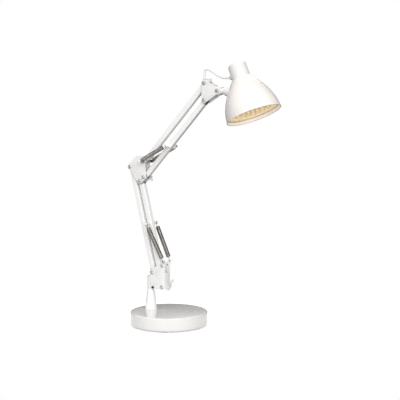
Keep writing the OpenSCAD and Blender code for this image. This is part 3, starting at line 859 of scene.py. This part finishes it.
def make_bracket():
    front = C + Vector((1.8, 0))
    bm = bmesh.new()
    plates(bm, [LOWER_CORNER, front, EAR_SCREW, B], [B, C])
    web = along(front, EAR_SCREW)
    half = PLATE_IN + 0.3
    block(bm, web, (-4, -half, -PLATE_R), (36, half, PLATE_T - PLATE_R), PLATE_EDGE)
    piece(bm, "lower_plates", 30)

    bm = bmesh.new()
    low, high = box("swivel_hub")
    recess_z = 111
    hub_r = POST_X - low.x
    turned(bm, ON_POST, [
        (low.z, SPINDLE_R), (low.z, hub_r - 0.6), (low.z + 0.6, hub_r), (high.z - 1.4, hub_r),
        (high.z - 0.4, hub_r - 0.4), (high.z, hub_r - 1.1), (high.z, 7), (recess_z, 7),
        (recess_z, SPINDLE_R),
    ], 96, closed=True)
    block(bm, UPRIGHT, (POST_X + 7.4, low.y, low.z), (high.x, high.y, high.z), 0.9)
    piece(bm, "swivel_hub", 40)

    bm = bmesh.new()
    foot, top, shank, key = PLATE_IN - 4.5, PLATE_OUT + 2, 2, 1.7
    for side in (-1, 1):
        turned(bm, outward(HUB_SCREW, side), [
            (foot, 0), (foot, shank), (PLATE_OUT, shank), (PLATE_OUT, SCREW_HEAD_R),
            (top - 0.4, SCREW_HEAD_R), (top, SCREW_HEAD_R - 0.4), (top, key + 0.2),
            (top - 0.2, key, "hex"), (top - 1.2, key, "hex"), (top - 1.4, 0),
        ], 48)
    piece(bm, "hub_screws")

    bm = bmesh.new()
    socket_bolt(bm, B, NUT_END)
    socket_bolt(bm, C, WING_END + 1)
    piece(bm, "lower_bolts")

    bm = bmesh.new()
    hex_nut(bm, B, PLATE_OUT)
    piece(bm, "lower_nut")

    bm = bmesh.new()
    spacer_washers(bm, [B, C])
    piece(bm, "lower_spacers")

    wing_nut("lower_wing_nut", C, size=1.25, spin=115)

    ear_t = 1.6
    bm = bmesh.new()
    ear = rounded_outline([EAR_SCREW, EAR_PIN, EAR_PIN + Vector((-0.5, 0.5))], 5, 12)
    holes = [circle(EAR_SCREW, 2, 32), circle(EAR_PIN, EAR_PIN_R, 32)]
    for low in (-PLATE_OUT - ear_t, PLATE_OUT):
        pressed(bm, UPRIGHT, ear, holes, low, low + ear_t, 0.3)
    piece(bm, "spring_ears", 30)

    outer = PLATE_OUT + ear_t
    head = EAR_PIN_Y + 1
    bm = bmesh.new()
    for side in (-1, 1):
        turned(bm, outward(EAR_SCREW, side), [
            (PLATE_IN, 0), (PLATE_IN, shank), (outer, shank), (outer, EAR_SCREW_HEAD_R),
            (outer + 1.3, EAR_SCREW_HEAD_R), (outer + 2.2, EAR_SCREW_HEAD_R - 0.9),
            (outer + 2.6, EAR_SCREW_HEAD_R - 2), (outer + 2.4, 2, "hex"), (outer + 1, 2, "hex"),
            (outer + 0.8, 0),
        ], 60)
        turned(bm, outward(EAR_PIN, side), [
            (PLATE_OUT, 0), (PLATE_OUT, EAR_PIN_R), (head, EAR_PIN_R), (head, EAR_PIN_HEAD_R - 0.2),
            (head + 0.3, EAR_PIN_HEAD_R), (head + 0.8, EAR_PIN_HEAD_R - 0.6), (head + 1.2, 0),
        ], 48)
    piece(bm, "ear_rivets")


def make_elbow():
    bm = bmesh.new()
    plates(bm, [P3, P2, ELBOW_TOP_RIGHT, ELBOW_TOP_LEFT, P1], [P1, P2, P3, P4])
    piece(bm, "elbow_plates", 30)

    bm = bmesh.new()
    for point in (P1, P3):
        socket_bolt(bm, point, NUT_END)
    socket_bolt(bm, P2, WING_END)
    long_end = UPPER_SPRING_Y + 4.5
    pin(bm, across(P4), BOLT_R, -long_end, long_end)
    cap_heads(bm, P4, UPPER_SPRING_Y + 1.5, long_end + 0.6, LONG_HEAD_R)
    piece(bm, "elbow_bolts", materials=WITH_WHITE_HEADS)

    bm = bmesh.new()
    for point in (P1, P3, P4):
        hex_nut(bm, point, PLATE_OUT)
    hex_nut(bm, P4, -PLATE_OUT - NUT_H)
    for side in (-1, 1):
        sleeve(bm, outward(P4, side), LONG_HEAD_R, BOLT_R, PLATE_OUT + NUT_H, UPPER_SPRING_Y - SPRING_ROOM)
    piece(bm, "elbow_nuts")

    bm = bmesh.new()
    spacer_washers(bm, [P1, P2, P3, P4])
    piece(bm, "elbow_spacers")

    wing_nut("elbow_wing_nut", P2, size=0.85, spin=76)


# ---------- arms ----------


def rounded_square(x, half, corner, steps=5):
    """Section of a square bar at local x."""
    section = []
    for quarter in range(4):
        turn = math.pi / 2 * quarter
        for k in range(steps + 1):
            a = turn + math.pi / 2 * k / steps
            cy = (half - corner) * (1 if quarter in (0, 3) else -1)
            cz = (half - corner) * (1 if quarter in (0, 1) else -1)
            section.append(Vector((x, cy + corner * math.cos(a), cz + corner * math.sin(a))))
    return section


def make_bar(node, ends_node, a, b):
    """Square tube between two pivots, and the eye with its plug at each end."""
    length = (b - a).length
    place = along(a, b)
    half = BAR_W / 2
    bore = half - BAR_WALL
    corner = 1.5
    edge = 0.25
    x0, x1 = EYE_INSET, length - EYE_INSET
    stations = [
        (x0, half - edge, corner - edge), (x0 + edge, half, corner), (x1 - edge, half, corner),
        (x1, half - edge, corner - edge), (x1, bore, 0.5), (x0, bore, 0.5),
    ]
    bm = bmesh.new()
    loft(bm, [[place @ v for v in rounded_square(*s)] for s in stations], closed=True)
    piece(bm, node, 30, materials=[LIT_BAR_ENAMEL])

    bm = bmesh.new()
    for end in (place, place @ Matrix.Translation((length, 0, 0)) @ Matrix.Rotation(math.pi, 4, "Z")):
        outline = [
            (half * math.cos(t), half * math.sin(t))
            for t in (math.pi / 2 + math.pi * k / 24 for k in range(25))
        ] + [(EYE_INSET, -half), (EYE_INSET, half)]
        pressed(bm, end, outline, [circle((0, 0), BOLT_R)], -half, half, 0.5)
        plug = bore - 0.05
        block(bm, end, (EYE_INSET - 0.5, -plug, -plug), (EYE_INSET + 13, plug, plug), 0.5, 2)
    piece(bm, ends_node, 30)


# The coil: points a turn, distance of its turns, and how far its last half turns draw in towards the hooks.
COIL_STEPS = 24
PITCH = 2 * WIRE_R * 1.04
DRAWN_IN = 0.65
# The hooks: points, degrees where the loop starts and how far it goes, and its gap to the pin.
HOOK_POINTS = 22
HOOK_START, HOOK_SWEEP = -60, 330
HOOK_GAP = 0.12


def hook(pin, radius, flat, axis):
    """Loop of wire round a pin, from its open end to the coil."""
    points = []
    for k in range(HOOK_POINTS):
        t = math.radians(HOOK_START + HOOK_SWEEP * k / (HOOK_POINTS - 1))
        points.append(pin + radius * (math.sin(t) * flat - math.cos(t) * axis))
    return points


def spring_lines(a, b, ring_a, ring_b, hook_l):
    """Centre line of one close-wound spring from pin a to pin b: hook, coil and hook."""
    axis = (b - a).normalized()
    side = Vector((0, 1, 0))
    flat = axis.cross(side)
    bend = flat * 0.2
    coil_r = SPRING_R - WIRE_R
    coil_l = (b - a).length - 2 * hook_l
    last = int(coil_l / PITCH) * COIL_STEPS
    loop_a = ring_a + WIRE_R + HOOK_GAP
    loop_b = ring_b + WIRE_R + HOOK_GAP
    points = hook(a, loop_a, -flat, -axis)
    points.append(a + axis * (loop_a + 0.8) + bend)
    for k in range(last + 1):
        t = 2 * math.pi * k / COIL_STEPS
        half_turns = 2 * min(k, last - k) / COIL_STEPS
        r = coil_r * (1 - DRAWN_IN + DRAWN_IN * min(1.0, half_turns))
        rise = hook_l + coil_l * k / last
        points.append(a + axis * rise + r * (math.cos(t) * flat + math.sin(t) * side))
    points.append(b - axis * (loop_b + 0.8) + bend)
    return points + hook(b, loop_b, flat, axis)[::-1]


def make_springs(node, pins, pins_y, rings, hook_l):
    """The two springs of an arm, built at rest between their pins.

    Each pair is (fixed end, end on the bar). The springs are straight at rest, and nearly so at the
    angle aim.
    """
    bm = bmesh.new()
    for side in (-1, 1):
        ends = [at_y(pin, side * y) for pin, y in zip(pins, pins_y)]
        swept(bm, spring_lines(*ends, *rings, hook_l), WIRE_R, 8)
    made = piece(bm, node, 60, rides=False)
    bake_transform(made)


def cross_bolt(node, nuts_node, point, y, far_sleeve_low):
    """Bolt across a bar that carries the springs at +-y, with its nuts and sleeves."""
    bm = bmesh.new()
    pin(bm, across(point), CROSS_R, -y - 2, y + 2)
    cap_heads(bm, point, y + 1.5, y + 3.5, CROSS_HEAD_R)
    piece(bm, node, materials=WITH_WHITE_HEADS)

    bm = bmesh.new()
    sleeve_high = y - SPRING_ROOM
    nut_high = BAR_W / 2 + CROSS_NUT_H
    hex_nut(bm, point, -nut_high, CROSS_NUT_H, CROSS_R, CROSS_NUT_R)
    hex_nut(bm, point, BAR_W / 2, CROSS_NUT_H, CROSS_R, CROSS_NUT_R)
    sleeve(bm, across(point), SLEEVE_R, CROSS_R, -sleeve_high, -nut_high)
    sleeve(bm, across(point), SLEEVE_R, CROSS_R, far_sleeve_low, sleeve_high)
    piece(bm, nuts_node)


def make_knob(low, high):
    """Round white knob with a fluted rim, on the far side of the upper cross bolt."""
    bore = CROSS_R + 0.05
    neck, flute = 5, 0.4
    lathe("spring_knob", across(UPPER_HOOK), [
        (low, bore), (low, neck - 0.4), (low + 0.4, neck), (low + 1.3, neck), (low + 1.5, 5.8),
        (low + 2.1, KNOB_R, "grip", flute), (high - 1.4, KNOB_R, "grip", flute),
        (high - 0.6, KNOB_R - 0.5), (high - 0.1, KNOB_R - 1.3), (high, KNOB_R - 2.2), (high, bore),
    ], 144, 40, closed=True)


def make_arms():
    make_bar("lower_rear_bar", "lower_rear_ends", B, P1)
    make_bar("lower_front_bar", "lower_front_ends", C, P3)
    make_bar("upper_main_bar", "upper_main_ends", P2, H2)
    make_bar("upper_link_bar", "upper_link_ends", P4, H1)
    nut_high = BAR_W / 2 + CROSS_NUT_H
    knob_low, knob_high = nut_high + SIDE_GAP, 18.2
    cross_bolt("lower_spring_bolt", "lower_spring_nuts", LOWER_HOOK, LOWER_SPRING_Y, nut_high)
    cross_bolt("upper_spring_bolt", "upper_spring_nut", UPPER_HOOK, UPPER_SPRING_Y, knob_high + SIDE_GAP)
    make_knob(knob_low, knob_high)
    make_springs("lower_springs", (EAR_PIN, LOWER_HOOK), (EAR_PIN_Y, LOWER_SPRING_Y), (EAR_PIN_R, CROSS_R),
                 LOWER_HOOK_L)
    make_springs("upper_springs", (P4, UPPER_HOOK), (UPPER_SPRING_Y, UPPER_SPRING_Y), (BOLT_R, CROSS_R),
                 UPPER_HOOK_L)


# ---------- head ----------

CLIP_X = H1.x - 5
CLIP_LOW = H1.y + 8.5
CLIP_T = 2
CLIP_TOP = CLIP_LOW + 5
CLIP_R = 3.8
CLIP_HALF = 4
GROMMET_X = SHADE_TOP.x - 18.3
GROMMET_Z = SHADE_TOP.z - 31
LEAD_MID = Vector((142.0, 606.5))
LEAD_A = [
    Vector((CLIP_X, CLIP_TOP)), Vector((CLIP_X, 611)), Vector((CLIP_X, 621.5)),
    Vector((118, 621.5)), Vector((131, 612.5)), LEAD_MID,
]
LEAD_B = [
    LEAD_MID, Vector((153, 600.5)), Vector((163, GROMMET_Z)), Vector((GROMMET_X, GROMMET_Z)),
]


def smooth_route(points, per_leg=8):
    """Quadratic blend through the middles of the legs, which keeps the bends round."""
    route = [points[0]]
    for a, b, c in zip(points, points[1:], points[2:]):
        first, last = (a + b) / 2, (b + c) / 2
        for k in range(per_leg):
            s = k / per_leg
            route.append((1 - s) ** 2 * first + 2 * s * (1 - s) * b + s * s * last)
    route += [(points[-2] + points[-1]) / 2, points[-1]]
    return [at_y(p, 0) for p in route]


def make_lead(node, route):
    """One stretch of the lead to the shade, between two bodies."""
    bm = bmesh.new()
    swept(bm, smooth_route(route), LEAD_R, 20)
    made = piece(bm, node, 50, rides=False)
    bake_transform(made)


def make_head():
    bm = bmesh.new()
    plates(bm, [H2, H3, H1], [H1, H2, H3])
    piece(bm, "head_plates", 30)

    bm = bmesh.new()
    for point in (H1, H2):
        socket_bolt(bm, point, NUT_END)
    socket_bolt(bm, H3, WING_END)
    piece(bm, "head_bolts")

    bm = bmesh.new()
    for point in (H1, H2):
        hex_nut(bm, point, PLATE_OUT)
    piece(bm, "head_nuts")

    bm = bmesh.new()
    spacer_washers(bm, [H1, H2])
    spacer_washers(bm, [H3], 8, KNUCKLE_HALF + SIDE_GAP)
    piece(bm, "head_spacers")

    wing_nut("tilt_wing_nut", H3, size=0.85, spin=70)

    foot_x = H1.x + 8
    bm = bmesh.new()
    foot_end = foot_x + 4
    foot_low = H1.y - 4
    block(bm, UPRIGHT, (foot_x, -PLATE_IN, foot_low), (foot_end, PLATE_IN, foot_low + 8), 0.6)
    block(bm, UPRIGHT, (foot_x, -CLIP_HALF, foot_low), (foot_end, CLIP_HALF, CLIP_LOW + CLIP_T), 0.6)
    block(bm, UPRIGHT, (CLIP_X, -CLIP_HALF, CLIP_LOW), (foot_x + 1, CLIP_HALF, CLIP_LOW + CLIP_T), 0.6)
    sleeve(bm, Matrix.Translation((CLIP_X, 0, 0)), CLIP_HALF, LEAD_R, CLIP_LOW, CLIP_LOW + CLIP_T, 0.5)
    turned(bm, Matrix.Translation((CLIP_X, 0, 0)), [
        (CLIP_LOW + CLIP_T - 0.5, LEAD_R), (CLIP_LOW + CLIP_T - 0.5, CLIP_R),
        (CLIP_LOW + CLIP_T + 0.5, CLIP_R), (CLIP_TOP - 0.8, CLIP_R - 0.3), (CLIP_TOP, CLIP_R - 0.8),
        (CLIP_TOP, LEAD_R),
    ], 64, closed=True)
    piece(bm, "lead_clip", 40)

    arm_r = 7
    bm = bmesh.new()
    sleeve(bm, across(H3), NECK_R, BOLT_R + 0.05, -KNUCKLE_HALF, KNUCKLE_HALF, 0.9, 96)
    turned(bm, ON_STUD, [
        (4, 0), (4, arm_r), (18.6, arm_r), (19.6, 7.4), (20, 8.2), (20, 9.6), (20.4, NECK_R),
        (22.6, NECK_R), (23, 9.6), (23, STUD_BORE), (11, STUD_BORE), (11, 0),
    ], 96)
    piece(bm, "head_knuckle", 40)

    make_lead("head_lead_a", LEAD_A)
    make_lead("head_lead_b", LEAD_B)


# ---------- shade ----------


def bell_radius(t):
    u = (t - CAP_L) / (SHADE_L - CAP_L)
    return CAP_R + (RIM_R - CAP_R) * (1 - (1 - u) ** BELL_POWER)


def make_bell():
    steps = 40
    ts = [CAP_L + (SHADE_L - 1.6 - CAP_L) * (i / steps) ** 1.3 for i in range(steps + 1)]
    outer = [(t, bell_radius(t)) for t in ts]
    inner = [(t, bell_radius(t) - SHELL) for t in reversed(ts)]
    bead = [
        (SHADE_L - 1.6, RIM_R + 0.4), (SHADE_L - 1.25, RIM_R + RIM_BEAD), (SHADE_L - 0.4, RIM_R + RIM_BEAD),
        (SHADE_L, RIM_R + 0.3), (SHADE_L, RIM_R - 0.4), (SHADE_L - 0.4, RIM_R - SHELL),
    ]
    bm = bmesh.new()
    turned(bm, IN_SHADE, [
        inner[-1], (CAP_L, CAP_R - 0.25), (CAP_L + 0.2, CAP_R - 0.05), *outer[2:], *bead, inner[0],
    ], 192)
    # The inner wall takes the glowing copy of the enamel: painted light inside the bell.
    turned(bm, IN_SHADE, inner, 192, material=1)
    piece(bm, "shade_bell", 40, materials=[WARM_ENAMEL, GLOWING_INSIDE_ENAMEL])


def make_cap():
    """Cap with a rounded top edge and a slot for the switch."""
    edge, wall, foot = 6, 2, CAP_L - 0.05
    bm = bmesh.new()
    turned(bm, IN_SHADE, [
        (0, 0), *arc((CAP_R - edge, edge), edge, -90, 0, 10), (foot - 0.2, CAP_R), (foot, CAP_R - 0.2),
        (foot, CAP_R - wall), (wall, CAP_R - wall), (wall, 0),
    ], 128)
    cap = piece(bm, "shade_cap", 40, materials=[CAP_PLASTIC])
    bm = bmesh.new()
    block(bm, IN_SHADE, (-9, -5, -3), (9, 5, 4), 0.9)
    bm.transform(TO_METRES)
    mesh = bpy.data.meshes.new("slot")
    bm.to_mesh(mesh)
    bm.free()
    cutter = new_object("slot", mesh)
    modifier = cap.modifiers.new("slot", "BOOLEAN")
    modifier.object = cutter
    modifier.operation = "DIFFERENCE"
    modifier.solver = "EXACT"
    cut = evaluated_mesh(cap)
    cap.modifiers.clear()
    cap.data = cut
    cut.set_sharp_from_angle(angle=math.radians(35))
    bpy.data.objects.remove(cutter)
    bpy.data.meshes.remove(mesh)


def make_button():
    """Rocker of the switch: a rounded key with three grip ribs."""
    bm = bmesh.new()
    half_x, half_y = 8.6, 4.6
    block(bm, IN_SHADE, (-half_x, -half_y, -1.9), (half_x, half_y, 3.5), 0.8)
    for k in (-1, 0, 1):
        x = k * 3.2
        block(bm, IN_SHADE, (x - 0.6, -3.2, -2.5), (x + 0.6, 3.2, -1.2), 0.45)
    piece(bm, "switch_button", 40)


def make_boss():
    """Neck of the swivel, sunk into the side of the bell."""
    lathe("shade_boss", ON_STUD, [
        (23.4, STUD_BORE), (23.4, NECK_R - 0.5), (23.9, NECK_R), (33, NECK_R), (37, 10.3),
        (37, STUD_BORE),
    ], 96, 40, closed=True, materials=[WARM_ENAMEL])


def make_light():
    """Light board, its LEDs and the snap ring under it."""
    on_board = IN_SHADE @ Matrix.Translation((0, 0, BOARD_AT))
    gap, edge = 0.4, 0.3
    radius = bell_radius(BOARD_AT - BOARD_T) - SHELL - gap
    lathe("led_board", on_board, [
        (-BOARD_T, 0), (-BOARD_T, radius - edge), (edge - BOARD_T, radius), (-edge, radius),
        (0, radius - edge), (0, 0),
    ], 160)

    bm = bmesh.new()
    lip = (0.8, LED_R - 0.8)
    for ring, count in LED_RINGS:
        for x, y in circle((0, 0), ring, count):
            spot = on_board @ Matrix.Translation((x, y, 0))
            turned(bm, spot, [
                (0, 0), (0, LED_R), (0.55, LED_R), (0.85, LED_R - 0.25), (0.95, LED_R - 0.6), lip,
            ], 24)
            turned(bm, spot, [lip, (1.05, 1.2), (1.17, 0.7), (1.2, 0)], 24, material=1)
    piece(bm, "leds", 50, materials=[MATERIALS["led_yellow"], PHOSPHOR])

    radius = bell_radius(BOARD_AT) - SHELL - gap
    width, height = 1.8, 1.6
    lathe("retaining_ring", on_board, [
        (0, radius), (0, radius - width), (height - edge, radius - width), (height, radius - width + edge),
        (height, radius - edge), (height - edge, radius),
    ], 160, 40, closed=True, materials=[SNAP_STEEL])


def make_grommet():
    """Grommet where the lead goes into the cap."""
    flange, neck = 5.6, 3.9
    lathe("lead_grommet", inward((GROMMET_X, 0, GROMMET_Z)), [
        (0, LEAD_R), (0, 3.4), (0.5, 4), (4.5, 5.4), (5.2, flange), (6.2, flange), (8, flange), (8, neck),
        (13.4, neck), (13.4, LEAD_R),
    ], 72, closed=True)


def make_driver():
    """Lamp driver in the neck of the bell, with its potted lid."""
    bm = bmesh.new()
    block(bm, IN_SHADE, (-10, -8, 42), (16, 8, 59), 0.8)
    block(bm, IN_SHADE, (-9, -7, 58), (15, 7, 62), 0.8)
    piece(bm, "driver_box")


make_base()
make_post()
make_bracket()
make_elbow()
make_arms()
make_head()
make_bell()
make_cap()
make_button()
make_boss()
make_light()
make_grommet()
make_driver()

for node, part in frame["nodes"].items():
    if not part.hide_render:
        for material_slot in part.material_slots:
            material_slot.material = MATERIALS[slot_of[node]]

# ---------- stage and light, in metres ----------

FLOOR_R = 0.32
FLOOR_GLOW = 0.42
FRONT = Vector((0.56, -0.83, 0.0))


def make_floor():
    bm = bmesh.new()
    bmesh.ops.create_circle(bm, cap_ends=True, segments=96, radius=FLOOR_R)
    mesh = bpy.data.meshes.new("floor")
    bm.to_mesh(mesh)
    bm.free()
    s = Surface("floor_white", Specular_IOR_Level=0.0)
    s.clouds(3, 3, (0.9, 0.9, 0.9), (0.92, 0.92, 0.92))
    s.gloss(20, 3, 0.85, 0.95)
    s.glow((1, 1, 1), FLOOR_GLOW)
    mesh.materials.append(s.material)
    floor = new_object("floor", mesh)
    floor.visible_diffuse = False


def soft_sun(name, towards, spread, strength):
    """Large soft source far away, in the given direction and as many degrees across as spread says."""
    data = bpy.data.lights.new(name, "SUN")
    data.energy = strength
    data.angle = math.radians(spread)
    light = new_object(name, data)
    light.rotation_mode = "QUATERNION"
    light.rotation_quaternion = Vector(towards).to_track_quat("Z", "Y")


def make_world():
    """White surround for the eye; for light and reflections a grey room with a bright wall in front.

    The room's stops are (position, grey).
    """
    world = bpy.data.worlds.new("studio")
    world.use_nodes = True
    tree = world.node_tree

    def ramp(value, stops):
        node = tree.nodes.new("ShaderNodeValToRGB")
        elements = node.color_ramp.elements
        for index, (position, grey) in enumerate(stops):
            element = elements[index] if index < 2 else elements.new(position)
            element.position = position
            element.color = (grey, grey, grey, 1)
        tree.links.new(value, node.inputs["Fac"])
        return node.outputs["Color"]

    def blend(kind, factor, first, second):
        node = tree.nodes.new("ShaderNodeMix")
        node.data_type = "RGBA"
        node.blend_type = kind
        for index, value in ((MIX_FACTOR, factor), (MIX_A, first), (MIX_B, second)):
            if isinstance(value, bpy.types.NodeSocket):
                tree.links.new(value, node.inputs[index])
            else:
                node.inputs[index].default_value = value
        return node.outputs[MIX_RESULT]

    def from_minus_one(value):
        """Brings a cosine to 0..1."""
        node = tree.nodes.new("ShaderNodeMapRange")
        node.inputs["From Min"].default_value = -1
        tree.links.new(value, node.inputs["Value"])
        return node.outputs["Result"]

    direction = tree.nodes.new("ShaderNodeTexCoord").outputs["Generated"]
    split = tree.nodes.new("ShaderNodeSeparateXYZ")
    tree.links.new(direction, split.inputs["Vector"])
    facing = tree.nodes.new("ShaderNodeVectorMath")
    facing.operation = "DOT_PRODUCT"
    facing.inputs[1].default_value = FRONT
    tree.links.new(direction, facing.inputs[0])
    level = from_minus_one(split.outputs["Z"])
    height = ramp(level, [(0.0, 0.2), (0.95, 0.56), (0.5, 0.22), (0.6, 0.38)])
    behind = ramp(from_minus_one(facing.outputs["Value"]), [(0.15, 0.1), (0.6, 1.0)])
    wall = ramp(facing.outputs["Value"], [(0.1, 0.0), (0.8, 0.87)])
    above = ramp(level, [(0.3, 0.45), (0.5, 1.0)])
    dim = blend("MULTIPLY", 1.0, height, behind)
    room = blend("ADD", 1.0, dim, blend("MULTIPLY", 1.0, wall, above))
    path = tree.nodes.new("ShaderNodeLightPath")
    seen = blend("MIX", path.outputs["Is Camera Ray"], room, (1, 1, 1, 1))
    tree.links.new(seen, tree.nodes["Background"].inputs["Color"])
    scene.world = world


make_floor()
make_world()
soft_sun("key", (0.85, -0.75, 0.45), 30, 0.85)
soft_sun("ceiling", (0.0, 0.0, 1.0), 100, 0.15)
soft_sun("back", (-0.56, 0.83, 0.8), 40, 0.85)
soft_sun("fill", (-0.9, -0.5, 0.9), 60, 0.42)
scene.view_settings.view_transform = "Standard"
